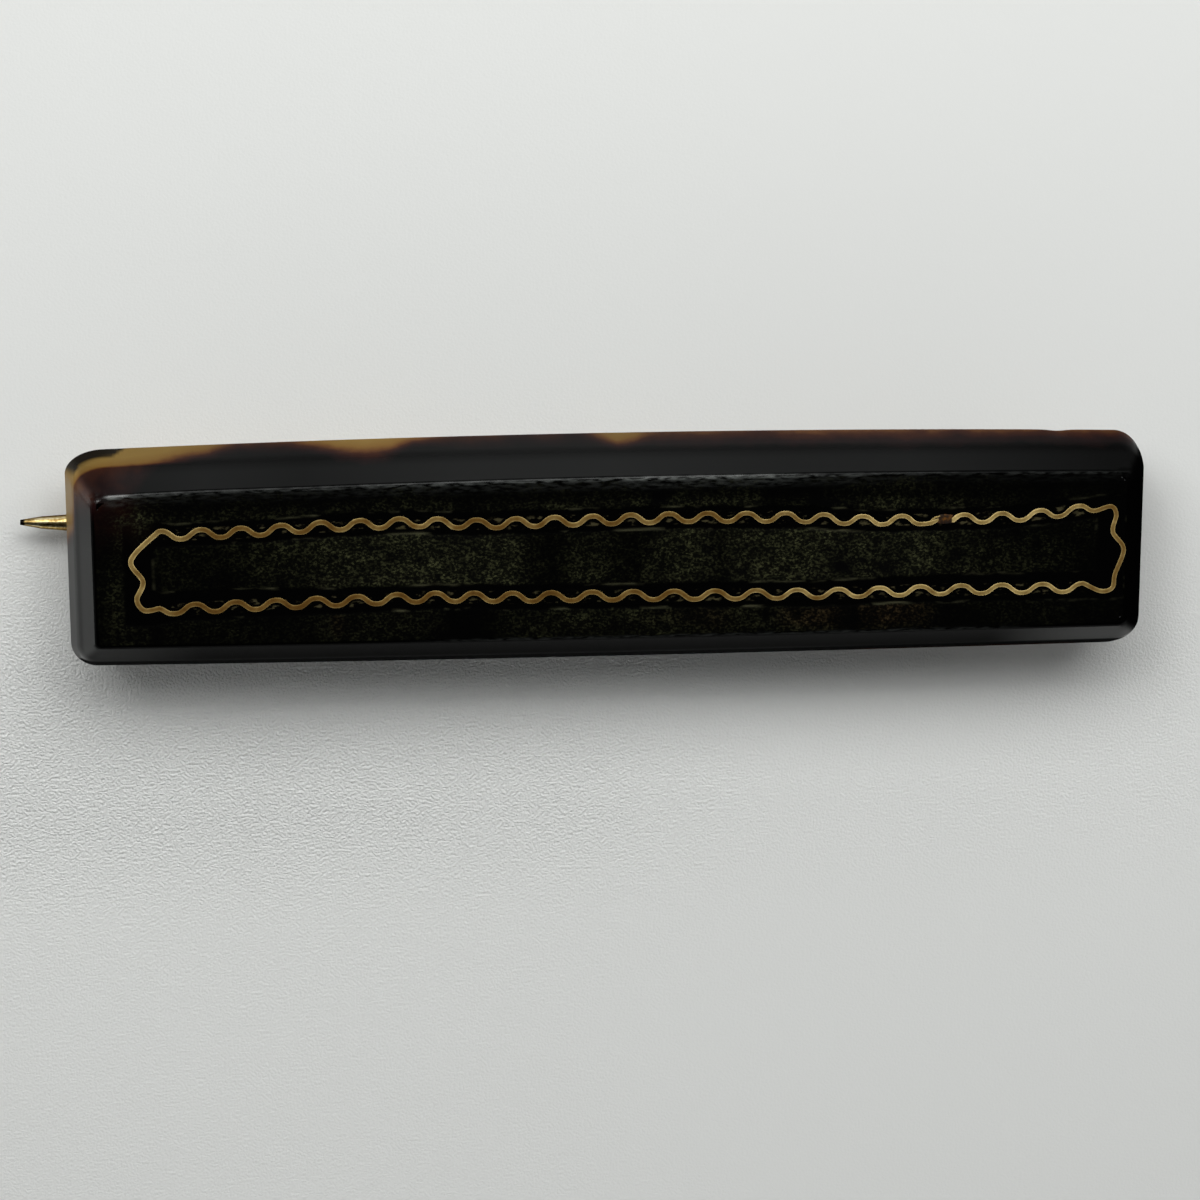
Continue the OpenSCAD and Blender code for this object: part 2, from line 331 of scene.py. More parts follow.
def placed(u, v, run, rise):
    """Where the ring at this run and rise puts the spots u, v of a square from -1 to 1."""
    share = run / side_run
    low = -half_l + pin_end_run * share
    is_worn = worn_from < rise < bar_t - hair
    high = half_l - (along(rise, hinge_wear) if is_worn else hinge_end_run * share)
    middle, a, b = (low + high) / 2, (high - low) / 2, half_w - run
    x, y = u * a, v * b
    for (end, side), (wear_x, wear_y, wear_face) in corner_wear.items():
        if run < face_run:
            rx = wear_x + (wear_face - wear_x) * min(share, 1)
            ry = wear_y + (wear_face - wear_y) * min(share, 1)
            out_x, out_y = (x * end - (a - rx)) / rx, (y * side - (b - ry)) / ry
            worn = (out_x > 0) & (out_y > 0)
            pull = 1 / np.maximum(np.hypot(out_x, out_y), 1)
            x = np.where(worn, end * (a - rx + rx * out_x * pull), x)
            y = np.where(worn, side * (b - ry + ry * out_y * pull), y)
    x = x + middle
    outward = np.clip(y / b, 0, 1)
    y = y - along(x, arris_shift) * outward ** 4 * min(share, 1) ** 2
    y = y - dent_in * outward * max(0, 1 - rise) * np.exp(-((x - dent_x) / dent_half) ** 2)
    return x, y - np.where(y > 0, far_bow, -near_bow) * np.abs(y) / half_w * (x / half_l) ** 2


def edge_spots():
    """The spots round the edge of the face's own grid, counterclockwise, as grid places."""
    spots = [(i, 0) for i in range(cells_x)] + [(cells_x, j) for j in range(cells_y)]
    return spots + [(i, cells_y) for i in range(cells_x, 0, -1)] + [(0, j) for j in range(cells_y, 0, -1)]


grid_j, grid_i = np.mgrid[0:cells_y + 1, 0:cells_x + 1]
face_x, face_y = placed(grid_i.ravel() / cells_x * 2 - 1, grid_j.ravel() / cells_y * 2 - 1, face_run, bar_t)
spots = edge_spots()
edge_u = np.array([i / cells_x * 2 - 1 for i, j in spots])
edge_v = np.array([j / cells_y * 2 - 1 for i, j in spots])
shell_points = [np.stack([face_x, face_y, np.full_like(face_x, bar_t)], 1)]
for run, rise in reversed(profile[:-1]):
    ring_x, ring_y = placed(edge_u, edge_v, run, rise)
    shell_points.append(np.stack([ring_x, ring_y, np.full_like(ring_x, rise)], 1))
shell_points = np.vstack(shell_points)

shell_faces = [(a, a + 1, a + cells_x + 2, a + cells_x + 1)
               for j in range(cells_y) for a in range(j * (cells_x + 1), j * (cells_x + 1) + cells_x)]
inner_ring = [j * (cells_x + 1) + i for i, j in spots]
face_count = len(face_x)
for k in range(len(profile) - 1):
    outer_ring = list(range(face_count + k * len(spots), face_count + (k + 1) * len(spots)))
    shell_faces += [(outer_ring[n], outer_ring[n - len(spots) + 1],
                     inner_ring[n - len(spots) + 1], inner_ring[n]) for n in range(len(spots))]
    inner_ring = outer_ring
shell_faces.append(tuple(reversed(inner_ring)))


def ramp(value, low, high):
    """0 below low, 1 above high and smooth between."""
    t = np.clip((value - low) / (high - low), 0, 1)
    return t * t * (3 - 2 * t)


def bump_at(value, middle, width):
    """1 where the value is the middle one, and falling to nothing over a width to both sides."""
    return np.exp(-((value - middle) / width) ** 2)


def uneven(x, step, seed):
    """A hand's unevenness along x, from -1 to 1, with a new value at each step."""
    rows = np.arange(-32, 32, step)
    return np.interp(x, rows, np.random.default_rng(seed).uniform(-1, 1, len(rows)))


def nearest(points, line):
    """The distance of each point, in plan, from a line given by close points."""
    tree = KDTree(len(line))
    for n, (x, y) in enumerate(line):
        tree.insert((x, y, 0), n)
    tree.balance()
    return np.array([tree.find((x, y, 0))[2] for x, y in points])


# A channel was scraped along both sides of the wire. Its inner edge runs this far from the far row,
# its outer edge this far from the two rows, and both end straight across at these places along x.
far_room = 0.6
far_reach = 0.62
near_reach = 0.66
inner_ends = (-25.2, 27)
outer_ends = (-26.8, 28.6)
hand_wander = 0.05
channel_fade = 0.12
channel_dip = 0.03
# How far each spot lies inside and outside of the channel
x, y, z = shell_points.T
on_face = z > bar_t - hair
far_mid, near_mid = along(x, far_row), along(x, near_row)
near_room = along(x, [(-27, 1), (-20, 0.95), (-15, 0.72), (0, 0.68), (12, 0.74), (20, 0.9), (28, 0.92)])
inside = np.minimum(far_mid - far_room - y, y - near_mid - near_room) + hand_wander * uneven(x, 0.8, 3)
inside = np.minimum(np.minimum(inside, x - inner_ends[0]), inner_ends[1] - x)
outside = np.maximum(y - far_mid - far_reach, near_mid - near_reach - y) + hand_wander * uneven(x, 0.9, 5)
outside = np.maximum(np.maximum(outside, outer_ends[0] - x), x - outer_ends[1])
within, beyond = ramp(inside, 0, channel_fade), ramp(outside, 0, channel_fade)
shell_points[:, 2] -= np.where(on_face, channel_dip * (1 - np.maximum(within, beyond)), 0)

# Which slope each spot is on, by how far in it lies as a share of that slope's run
straight_y = y + np.where(y > 0, far_bow, -near_bow) * np.abs(y) / half_w * (x / half_l) ** 2
far_in, near_in = (half_w - straight_y) / side_run, (half_w + straight_y) / side_run
edge_shift = along(x, arris_shift) / side_run
# The far edge's shift grows with the square of this share up the slope, and is taken back here
far_in = np.where(far_in - edge_shift > 1, far_in - edge_shift,
                  2 * far_in / (1 + np.sqrt(1 + 4 * edge_shift * np.clip(far_in, 0, 1.2))))
pin_in, hinge_in = (x + half_l) / pin_end_run, (half_l - x) / hinge_end_run
mitre_crispness = 16
outermost = np.exp(-mitre_crispness * np.stack([far_in, near_in, pin_in, hinge_in]))
far_side, near_side, pin_side, hinge_side = outermost / outermost.sum(0)

# How far up the slopes the shell is clear enough to show amber, as x and rise, how fast it clears
# towards the back, and how strongly it shows
clear_reach = [(-30, 2.2), (-27, 2.2), (-25.8, 2.0), (-24.4, 1.6), (-23, 1.1), (-21.8, 0.75),
               (-20.4, 0.35), (-17.4, 0.3), (-16.4, 0.6), (-15, 1.2), (-13.5, 1.5), (-12, 1.25),
               (-10.8, 0.5), (-9.4, 0.25), (-7.6, 0.15), (-1.6, 0.15), (-0.4, 0.8), (0.4, 1.25), (1.3, 1),
               (2.4, 0.6), (4, 0.45), (29, 0.45)]
clear_slope = [(-21, 1), (-19, 0.7), (-16.6, 0.9), (-10, 0.9), (-8, 0.6), (-1.4, 0.6), (0, 1), (1.6, 1),
               (3, 0.5), (29, 0.5)]
clear_gain = [(-29, 0.62), (-27.4, 0.68), (-24, 0.66), (-20.5, 0.55), (-19, 0.42), (-16.4, 0.7),
              (-10.5, 0.78), (-9, 0.45), (-1.6, 0.4), (-0.2, 0.58), (1.3, 0.58), (2.8, 0.5), (12, 0.75),
              (29, 0.7)]
end_reach = [(-7, -0.6), (-0.3, -0.5), (0.6, 0), (1.9, 1.5), (3.4, 2.1), (4.5, 2.5), (6, 2.6)]
near_clear = [(8, -1), (13, 0.1), (17, 0.35), (26, 0.35), (28, -1)]
clear = (far_side * along(x, clear_slope) * (along(x, clear_reach) - z)
         + pin_side * 0.8 * (along(y, end_reach) - z)
         + near_side * (along(x, near_clear) - z) - hinge_side * 2)
# Round the pin's end the amber stops short where the wall meets the slope above it
clear = clear + (0.65 * np.clip(z - 1.7, 0, None) - 0.52 * ramp(z, 1.5, 1.7)) * (
    far_side * ramp(-x, 21, 25) + pin_side)
gain = far_side * along(x, clear_gain) + pin_side + near_side * 0.6
# The far corner at the pin's end is dark along its lower half
cap_rise = along(x, [(-29.7, 1.6), (-29.1, 1.0), (-27.3, 0.85), (-26.8, 0.35), (-26.2, -0.3)])
gain = gain * (1 - 0.97 * ramp(cap_rise - z, -0.12, 0.2) * ramp(y, 4.7, 5.2))
# A wine red tinge shows through the face in that corner
tinge = on_face * bump_at(x, -27.6, 1.7) * bump_at(y, 3.8, 1.8)
clear = np.where(on_face, -0.25, clear)
gain = np.where(on_face, 0.5 * tinge, gain)

# How much grey-green haze of old wax and fine scratches lies on each band of the face, along x
haze_inside = [(-25.4, 0.08), (-24.6, 0.15), (-21.5, 0.18), (-19.5, 0.35), (-18, 0.58), (-14, 0.88),
               (-10, 1.0), (-5.6, 0.95), (-4.5, 0.45), (-3.4, 0.1), (-2.7, 0.2), (-2, 0.6), (-0.6, 0.6),
               (0.1, 0.2), (1.4, 0.1), (2.3, 0.75), (5.4, 0.8), (6, 0.5), (6.8, 0.9), (13.5, 0.95),
               (15, 1.0), (17, 1.05), (18, 0.75), (19.5, 0.75), (21, 0.45), (24, 0.32), (26.5, 0.12)]
haze_far = [(-28.5, 0.1), (-26, 0.45), (-23, 0.3), (-16, 0.35), (-10, 0.4), (-8, 0.2), (-5, 0.5), (2, 0.6),
            (8, 0.65), (8.7, 0.1), (10, 0.25), (11, 0.65), (17, 0.7), (19, 0.4), (21, 0.25), (24, 0.1),
            (27, 0.03)]
haze_near = [(-28.5, 0.1), (-27, 0.35), (-25.5, 0.35), (-24, 0.14), (-19, 0.17), (-16.5, 0.26),
             (-15.2, 0.5), (-14, 0.3), (-9.6, 0.25), (-8.9, 0.03), (-7, 0.03), (-5.5, 0.28), (-3, 0.45),
             (5.5, 0.55), (8, 0.25), (9.5, 0.5), (16, 0.55), (17.8, 0.38), (18.6, 0.1), (24, 0.14),
             (28, 0.04)]
far_band = beyond * (y > 0) * along(x, haze_far) * (1 - 0.75 * ramp(outside, 0.25, 0.9))
near_band = beyond * (y <= 0) * along(x, haze_near) * (1 - 0.3 * ramp(outside, 0.9, 1.4))
# A thicker smear lies beside the far row's bend at the pin's end
smear = 0.6 * bump_at(x, -25.8, 0.4) * bump_at(y, 2.5, 0.8)
haze = np.where(on_face, within * along(x, haze_inside) + far_band + near_band + smear, 0)
# Where the haze is brown or wine red instead of olive
rust = near_band * (0.2 + 0.6 * bump_at(x, -15.2, 0.6) + 0.35 * ramp(x, -3, 3) + 0.3 * ramp(x, 8, 11))
# Wax left in the hollows of the waves, away from the polish that follows the wire
off_wire = nearest(shell_points[:, :2], route)
off_row = np.minimum(np.abs(y - far_mid), np.abs(y - near_mid))
left_in = ramp(off_wire, 0.25, 0.32) * (1 - ramp(off_row, 0.28, 0.36)) * on_face * (np.abs(x - 1) < 25.5)
# Pale lines where the channel's edges catch the light
rim = np.maximum(bump_at(inside, 0.02, 0.05), bump_at(outside, 0.02, 0.05)) * on_face
rim = rim * (1 - 0.6 * ramp(x, 20, 24)) * (1 - 0.65 * ramp(-x, 24.4, 25))
# The far slope's edge with the face: uneven grey scuffs and a painted highlight, lengthwise scuffs beside
# it
# How strongly the scuffs and the painted highlight show along the far edge, by x
scuffs_and_glint = [(-29, 0.1), (-27.9, 0.15), (-27.5, 0.9), (-26.9, 0.9), (-26.2, 0.35), (-20, 0.25), (-14, 0.3),
          (-10, 0.45), (0, 0.5), (1.5, 0.9), (9, 1), (10.5, 0.5), (14, 0.35), (16, 0.15), (20, 0.1),
          (22, 0.14), (28, 0.14), (29, 0)]
beside = ramp(far_in, 1, 1.06) * (1 - ramp(far_in, 1.15, 1.4))
arris = along(x, scuffs_and_glint) * (bump_at(far_in, 1.03, 0.04) + 0.2 * beside)
arris = arris + 0.2 * bump_at(near_in, 1.02, 0.04) * ramp(x, -12, -6) * (1 - ramp(x, 20, 24))

# How well each slope is still polished, as the shader's specular level: the near side is rubbed dull,
# the hinge end too, the walls half so, and the slopes beside the pin are bright
far_polish = [(-26.3, 0.1), (-22.3, 0.125), (-16.8, 0.1), (-8.4, 0.145), (0, 0.15), (8.4, 0.115),
              (16.8, 0.105), (23.5, 0.06), (27.9, 0.035)]
edge_glint = [(-29, 0.02), (-27.8, 0.03), (-27.5, 0.42), (-26.8, 0.42), (-26.3, 0.1), (-22, 0.08),
              (-17, 0.07), (-12, 0.1), (-8.4, 0.15), (-4, 0.11), (0, 0.1), (1.5, 0.22), (8, 0.22),
              (9.5, 0.09), (12, 0.04), (17, 0.05), (20, 0.02), (22, 0.01), (29, 0.01)]
# The near slope is brighter towards its inner edge and both of its ends, and its wall is duller still
on_near_slope = ramp(near_in, 0.36, 0.5)
near_ends = 0.045 * (1 - ramp(x, -29, -22)) + 0.16 * ramp(x, 21, 28.5)
near_polish = (on_near_slope * (0.004 + 0.016 * np.clip(near_in, 0, 1) ** 2 + near_ends)
               + (1 - on_near_slope) * (0.009 - 0.005 * ramp(x, 8, 16)))
pin_polish = 0.22 + (0.24 - 0.1 * ramp(y, 0, 4)) * ramp(pin_in, 0.4, 0.6)
slope_polish = (far_side * along(x, far_polish) * (0.6 + 0.4 * ramp(far_in, 0.35, 0.6))
                + near_side * near_polish + pin_side * pin_polish)
# The cut where the far slope meets the pin's end is dull
slope_polish = slope_polish * (1 - 0.6 * ramp(-x, 26.6, 28) * ramp(y, 3.8, 4.8))
edge_polish = along(x, edge_glint) * (1 + 0.45 * uneven(x, 0.3, 11))
innermost = np.minimum(np.minimum(far_in, near_in), np.minimum(pin_in, hinge_in))
on_far_edge = bump_at(far_in, 1.01, 0.07)
dull_edge = np.minimum(slope_polish, 0.02) * (1 - on_far_edge)
polish = np.where(innermost > 0.94, dull_edge + edge_polish * on_far_edge, slope_polish)
polish = np.where(innermost > 1.09, 0.4, polish)
# The walls were left with a file's dull marks
filed = (1 - ramp(innermost, 0.3, 0.45)) * (innermost < 0.5) * (1 + 2 * (near_side > 0.5))

shell_data = bpy.data.meshes.new("shell_bar_piece")
shell_data.from_pydata([((px + mid_x) * MM, py * MM, (pz + back_z) * MM) for px, py, pz in shell_points],
                       [], shell_faces)
measures = {"clear": clear, "gain": gain, "haze": haze, "rust": rust, "left_in": left_in, "rim": rim,
            "arris": arris, "polish": polish, "filed": filed}
for name, values in measures.items():
    shell_data.attributes.new(name, "FLOAT", "POINT").data.foreach_set("value", values.astype(np.float32))
shell_data.polygons.foreach_set("use_smooth", [True] * (len(shell_faces) - 1) + [False])
shell = bpy.data.objects.new("shell_bar_piece", shell_data)
bpy.context.scene.collection.objects.link(shell)

# Tortoiseshell is a clear horn, IOR 1.55, so thick that it looks black. What the eye gets is a glossy
# surface, amber through its thin edges, and a dull skin of wax and scratches on the face.
tortoiseshell, tree, shader = material("polished_tortoiseshell")
spot = add(tree, "ShaderNodeTexCoord").outputs["Object"]
measured = {name: add(tree, "ShaderNodeAttribute", attribute_name=name).outputs["Fac"] for name in measures}

# Each pattern's size in millimetres, its detail, and its scale along the bar, where under 1 draws it out
noise = {}
for name, size, detail, stretch in (
        ("cloud", 1.7, 3, 1), ("tone", 4, 2, 1), ("patch", 2.6, 4, 1), ("spot", 0.6, 3, 1),
        ("fleck", 0.12, 5, 0.8), ("wax", 0.26, 3, 0.5), ("dash", 0.9, 3, 0.5), ("scuff_and_glint", 0.16, 3, 0.25),
        ("streak", 0.12, 3, 0.06), ("grit", 0.09, 2, 1), ("lump", 0.24, 3, 0.35)):
    stretched = add(tree, "ShaderNodeMapping", inputs={"Vector": spot, "Scale": (stretch, 1, 1)})
    noise[name] = add(tree, "ShaderNodeTexNoise", inputs={
        "Vector": stretched, "Scale": per_mm(size), "Detail": detail})

# The clear horn goes from black over wine red to amber, unevenly as clouds do
clouded = add(tree, "ShaderNodeMath", operation="MULTIPLY_ADD", inputs={0: noise["cloud"], 1: 0.8, 2: -0.4})
clear_depth = add(tree, "ShaderNodeMath", operation="ADD", inputs={0: measured["clear"], 1: clouded})
clear_level = add(tree, "ShaderNodeMapRange", inputs={
    "Value": clear_depth, "From Min": -0.6, "From Max": 1.1})
black = colour("#020202")
clear_shade = add(tree, "ShaderNodeValToRGB", inputs={"Fac": clear_level}, ramp=[
    (0.0, black), (0.2, colour("#190a0a")), (0.36, colour("#35190f")), (0.5, colour("#5c3a1c")),
    (0.68, colour("#745629")), (1.0, colour("#7e6433"))])
body_shade = add(tree, "ShaderNodeMix", data_type="RGBA", inputs={
    "Factor": measured["gain"], "A": black, "B": clear_shade})

# The haze lies in patches, spots and flecks: each comes up between two levels of its noise, and lets
# this least and this most of the haze show
haze_share = measured["haze"]
for name, low, high, least, most in (
        ("patch", 0.3, 0.58, 0, 1), ("spot", 0.25, 0.6, 0, 1), ("fleck", 0.48, 0.72, 0.05, 0.99)):
    shown = add(tree, "ShaderNodeMapRange", inputs={
        "Value": noise[name], "From Min": low, "From Max": high, "To Min": least, "To Max": most})
    haze_share = add(tree, "ShaderNodeMath", operation="MULTIPLY", inputs={0: haze_share, 1: shown})
toned = add(tree, "ShaderNodeMath", operation="MULTIPLY_ADD", inputs={
    0: noise["tone"], 1: 0.3, 2: measured["rust"]})
tone = add(tree, "ShaderNodeMapRange", inputs={"Value": toned, "From Min": 0.35, "From Max": 0.8})
haze_shade = add(tree, "ShaderNodeMix", data_type="RGBA", inputs={
    "Factor": tone, "A": colour("#46472f"), "B": colour("#523620")})
body_shade = add(tree, "ShaderNodeMix", data_type="RGBA", inputs={
    "Factor": haze_share, "A": body_shade, "B": haze_shade})

# Over it lie the wax, the dashes of light on the channel's edges, and the scuffs with their painted
# highlight: where, between which levels of their noise, how strongly at most, and in which colour
for name, where, low, high, most, shade in (
        ("wax", "left_in", 0.54, 0.64, 0.45, "#5a533a"), ("dash", "rim", 0.54, 0.68, 0.28, "#6e6c52"),
        ("scuff_and_glint", "arris", 0.4, 0.62, 1, "#585a58")):
    shown = add(tree, "ShaderNodeMapRange", inputs={
        "Value": noise[name], "From Min": low, "From Max": high, "To Max": most})
    share = add(tree, "ShaderNodeMath", operation="MULTIPLY", inputs={0: measured[where], 1: shown})
    body_shade = add(tree, "ShaderNodeMix", data_type="RGBA", inputs={
        "Factor": share, "A": body_shade, "B": colour(shade)})

# Haze, scuffs and file marks are dull. Fine scratches and grit roughen the haze, and lumps the scuffs.
worn = add(tree, "ShaderNodeMath", operation="ADD", inputs={0: measured["arris"], 1: measured["filed"]})
hazy = add(tree, "ShaderNodeMath", operation="MULTIPLY_ADD", inputs={0: measured["haze"], 1: 0.1, 2: 0.15})
dull = add(tree, "ShaderNodeMath", operation="MULTIPLY_ADD", inputs={0: worn, 1: 0.2, 2: hazy})
gritty = add(tree, "ShaderNodeMath", operation="MULTIPLY", inputs={0: noise["grit"], 1: 0.4})
scratched = add(tree, "ShaderNodeMath", operation="MULTIPLY_ADD", inputs={
    0: noise["streak"], 1: 0.5, 2: gritty})
roughened = add(tree, "ShaderNodeMath", operation="MULTIPLY_ADD", inputs={
    0: measured["haze"], 1: 0.9, 2: 0.02})
bruised = add(tree, "ShaderNodeMath", operation="MULTIPLY", inputs={0: measured["arris"], 1: 0.7})
lumps = add(tree, "ShaderNodeMath", operation="MULTIPLY", inputs={0: noise["lump"], 1: bruised})
relief = add(tree, "ShaderNodeMath", operation="MULTIPLY_ADD", inputs={
    0: scratched, 1: roughened, 2: lumps})
bump = add(tree, "ShaderNodeBump", inputs={"Height": relief, "Strength": 0.3, "Distance": 0.015 * MM})
# One level stands for the measured polish wherever a model can't hold it
shader.inputs["Specular IOR Level"].default_value = 0.15
feed(tree, shader, {"Base Color": body_shade, "Roughness": dull, "Specular IOR Level": measured["polish"],
                    "IOR": 1.55, "Normal": bump})
shell_data.materials.append(tortoiseshell)
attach(shell, "bar")
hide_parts("shell_bar")

# Gold wire
# One thin gold wire, crimped into waves, pressed into the warm shell as a long loop and rubbed flat
# with the face. One end is flared by the cutter and the other is frayed into two strands.
wire_w = 0.275
wire_t = 0.15
wire_crown = 0.008
flare = 0.1
flare_l = 0.5
fray_l = 0.6
fray_tip = 0.05
wire_lift = -0.005
# Low-carat gold that long wear left matt gives the eye a soft tan yellow. Its own edges are lightened as a
# painted highlight. It is rubbed bright at the pin's end and along the last third of both rows, and up to
# there the near row is browner than the far one.
gold, tree, shader = material("worn_gold")
spot = add(tree, "ShaderNodeTexCoord").outputs["Object"]
place = add(tree, "ShaderNodeSeparateXYZ", inputs={"Vector": spot})
crown = add(tree, "ShaderNodeAttribute", attribute_name="crown")
# A painted highlight, lighter towards both of the wire's edges
painted_edge_light = add(tree, "ShaderNodeMath", operation="POWER", inputs={0: crown.outputs["Fac"], 1: 3})
wear = add(tree, "ShaderNodeTexNoise", inputs={"Vector": spot, "Scale": per_mm(0.7), "Detail": 3})
span = 30
rubbed_at = add(tree, "ShaderNodeMapRange", inputs={
    "Value": place.outputs["X"], "From Min": -span * MM, "From Max": span * MM})
rubbed = add(tree, "ShaderNodeValToRGB", inputs={"Fac": rubbed_at}, ramp=[
    ((at + span) / (2 * span), (much, much, much, 1)) for at, much in (
        (-26.2, 0.66), (-24.5, 0.55), (-21, 0.3), (8, 0.32), (17, 0.6), (27.2, 0.62), (28, 0.36))])
on_near_row = add(tree, "ShaderNodeMapRange", inputs={
    "Value": place.outputs["Y"], "From Min": 1 * MM, "From Max": -1 * MM})
before_third = add(tree, "ShaderNodeMapRange", inputs={
    "Value": place.outputs["X"], "From Min": 6 * MM, "From Max": -2 * MM})
browned = add(tree, "ShaderNodeMath", operation="MULTIPLY", inputs={0: on_near_row, 1: before_third})
brightness = -0.55
for part, much in ((painted_edge_light, 0.45), (wear, 1.1), (rubbed, 1), (browned, -0.14)):
    brightness = add(tree, "ShaderNodeMath", operation="MULTIPLY_ADD", inputs={
        0: part, 1: much, 2: brightness})
gold_shade = add(tree, "ShaderNodeValToRGB", inputs={"Fac": brightness}, ramp=[
    (0.05, colour("#553911")), (0.28, colour("#694c1f")), (0.5, colour("#7e6538")),
    (0.75, colour("#a38a54")), (1.0, colour("#d4ba80"))])
nicks = add(tree, "ShaderNodeTexNoise", inputs={"Vector": spot, "Scale": per_mm(0.12), "Detail": 3})
nicked = add(tree, "ShaderNodeBump", inputs={"Height": nicks, "Strength": 0.4, "Distance": 0.008 * MM})
feed(tree, shader, {"Base Color": gold_shade, "Metallic": 0.3, "Roughness": 0.65,
                    "Specular IOR Level": 0.15, "Normal": nicked})

sweep = bpy.data.node_groups.new("swept_wire", "GeometryNodeTree")
for name, kind, io in (("Geometry", "Geometry", "INPUT"), ("Width", "Float", "INPUT"),
                       ("Depth", "Float", "INPUT"), ("Crown", "Float", "INPUT"),
                       ("Finish", "Material", "INPUT"), ("Geometry", "Geometry", "OUTPUT")):
    sweep.interface.new_socket(name, in_out=io, socket_type="NodeSocket" + kind)
given = add(sweep, "NodeGroupInput")
result = add(sweep, "NodeGroupOutput")
# The wire's section: a circle of points, one half of it drawn down into the shell as a tongue. The
# sweep turns the section over, so that half is the one at positive Y.
ring = add(sweep, "GeometryNodeCurvePrimitiveCircle", inputs={"Resolution": 20, "Radius": 1.0})
seat = add(sweep, "GeometryNodeInputPosition")
seat_parts = add(sweep, "ShaderNodeSeparateXYZ", inputs={"Vector": seat})
is_low = add(sweep, "ShaderNodeMath", operation="GREATER_THAN", inputs={
    0: seat_parts.outputs["Y"], 1: 0.01})
height = add(sweep, "GeometryNodeSwitch", input_type="FLOAT", inputs={
    "Switch": is_low, "False": given.outputs["Crown"], "True": given.outputs["Depth"]})
half = add(sweep, "ShaderNodeMath", operation="MULTIPLY", inputs={0: given.outputs["Width"], 1: 0.5})
section_x = add(sweep, "ShaderNodeMath", operation="MULTIPLY", inputs={
    0: seat_parts.outputs["X"], 1: half})
section_y = add(sweep, "ShaderNodeMath", operation="MULTIPLY", inputs={
    0: seat_parts.outputs["Y"], 1: height})
section = add(sweep, "ShaderNodeCombineXYZ", inputs={"X": section_x, "Y": section_y})
rim_share = add(sweep, "ShaderNodeMath", operation="ABSOLUTE", inputs={0: seat_parts.outputs["X"]})
marked = add(sweep, "GeometryNodeStoreNamedAttribute", data_type="FLOAT", domain="POINT", inputs={
    "Geometry": ring, "Name": "crown", "Value": rim_share})
shaped = add(sweep, "GeometryNodeSetPosition", inputs={"Geometry": marked, "Position": section})
level = add(sweep, "GeometryNodeSetCurveNormal", inputs={"Curve": given.outputs["Geometry"]})
thickness = add(sweep, "GeometryNodeInputRadius")
swept = add(sweep, "GeometryNodeCurveToMesh", inputs={
    "Curve": level, "Profile Curve": shaped, "Scale": thickness, "Fill Caps": True})
real = add(sweep, "GeometryNodeRealizeInstances", inputs={"Geometry": swept})
finished = add(sweep, "GeometryNodeSetMaterial", inputs={
    "Geometry": real, "Material": given.outputs["Finish"]})
feed(sweep, result, {"Geometry": finished})


def baked(piece, tree, values):
    """Runs a node tree on a piece and returns its result as a plain mesh object of the same name."""
    modifier = piece.modifiers.new("shape", "NODES")
    modifier.node_group = tree
    for item in tree.interface.items_tree:
        if item.in_out == "INPUT" and item.name in values:
            modifier[item.identifier] = values[item.name]
    evaluated = piece.evaluated_get(bpy.context.evaluated_depsgraph_get())
    data = bpy.data.meshes.new_from_object(evaluated)
    piece.modifiers.remove(modifier)
    name = piece.name
    bpy.data.objects.remove(piece)
    data.name = name
    made = bpy.data.objects.new(name, data)
    bpy.context.scene.collection.objects.link(made)
    return made


def drawn(name, lines):
    """A curve object of open lines, each a list of points with their thickness as a share."""
    data = bpy.data.curves.new(name, "CURVE")
    data.dimensions = "3D"
    for points, shares in lines:
        spline = data.splines.new("POLY")
        spline.points.add(len(points) - 1)
        for spline_point, (px, py), share in zip(spline.points, points, shares):
            spline_point.co = ((px + mid_x) * MM, py * MM, (top_z + wire_lift) * MM, 1)
            spline_point.radius = share
    made = bpy.data.objects.new(name, data)
    bpy.context.scene.collection.objects.link(made)
    return made


run_length = np.concatenate([[0], np.cumsum(np.linalg.norm(np.diff(route, axis=0), axis=1))])
left_over = run_length[-1] - run_length
# The wire is a little narrower towards the hinge end
thinner = 0.13 * np.interp(route[:, 0], (4, 9), (0, 1))
wire_share = 1 - thinner + 2 * flare / wire_w * np.clip(1 - run_length / flare_l, 0, 1)
frayed = fray_tip + (wire_w / 2 - fray_tip) * np.clip(left_over / fray_l, 0, 1)
wire_share = np.minimum(wire_share, frayed * 2 / wire_w)
# The frayed end's second strand, from its root to its tip
tip = route[-1]
strand = [(tip[0] - 0.55, tip[1] - 0.12), (tip[0] - 0.3, tip[1] + 0.08), (tip[0] - 0.02, tip[1] + 0.16)]
strand_share = (0.3, 0.34, 0.2)
wire = baked(drawn("gold_wire_piece", [(route, wire_share), (strand, strand_share)]), sweep, {
    "Width": wire_w * MM, "Depth": wire_t * MM, "Crown": wire_crown * MM, "Finish": gold})
wire.data.shade_smooth()
wire.data.set_sharp_from_angle(angle=math.radians(40))
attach(wire, "bar")
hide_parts("gold_wire")

